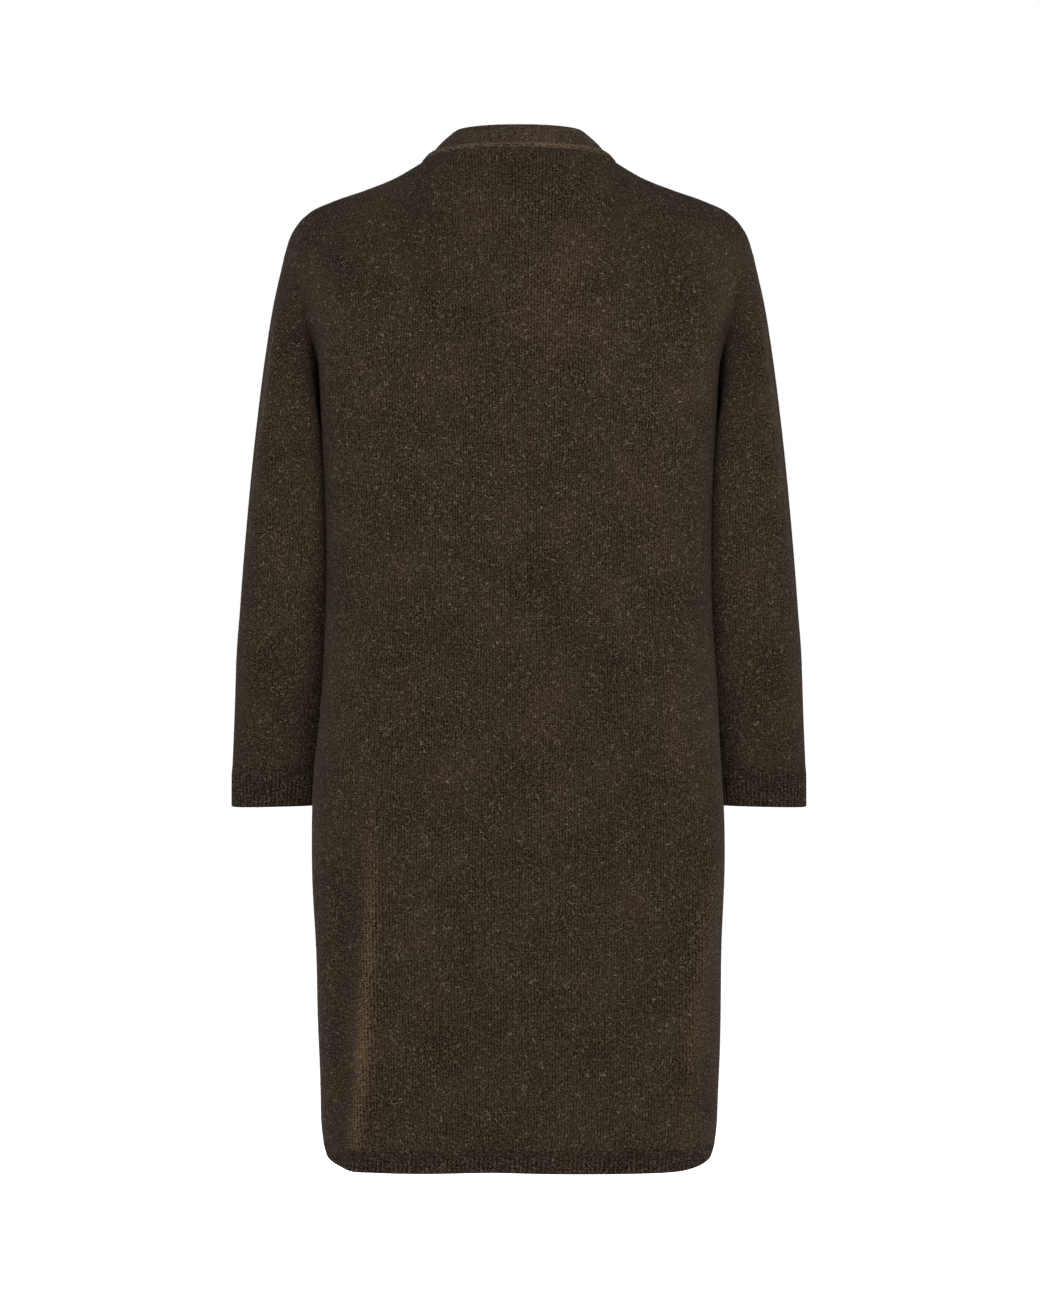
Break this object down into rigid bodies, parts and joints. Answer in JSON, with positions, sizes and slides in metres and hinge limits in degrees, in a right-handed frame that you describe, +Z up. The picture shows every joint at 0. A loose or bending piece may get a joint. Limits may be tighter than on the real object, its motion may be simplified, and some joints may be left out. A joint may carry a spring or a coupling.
{
  "type": "long open waterfall cardigan, filled out as worn and hollow",
  "caption": "Long knitted open-front cardigan with a falling folded front, short standing collar band, dropped shoulders and ribbed hem and cuffs, held hollow as worn.",
  "frame": {"origin": "midway between the wearer's shoulders, level with the side of the neck seam, where the shoulders carry the garment", "axes": "+Z up, the front faces -Y and the back +Y, +X to the wearer's left"},
  "size_m": [0.551, 0.2669, 0.9992],
  "materials": {
    "wool": "dark brown heathered wool jersey with a short fuzzy nap, matt",
    "band_wool": "the same wool knitted sideways as a soft double band, matt",
    "rib_wool": "the same wool knitted as a fine rib, matt"
  },
  "bodies": {
    "root": {"back": "wool", "front_left": "wool", "front_right": "wool", "sleeve_left": "wool", "sleeve_right": "wool", "neck_band": "band_wool", "front_band_left": "band_wool", "front_band_right": "band_wool", "hem_back": "rib_wool", "hem_front_left": "rib_wool", "hem_front_right": "rib_wool", "cuff_left": "rib_wool", "cuff_right": "rib_wool"}
  },
  "joints": []
}
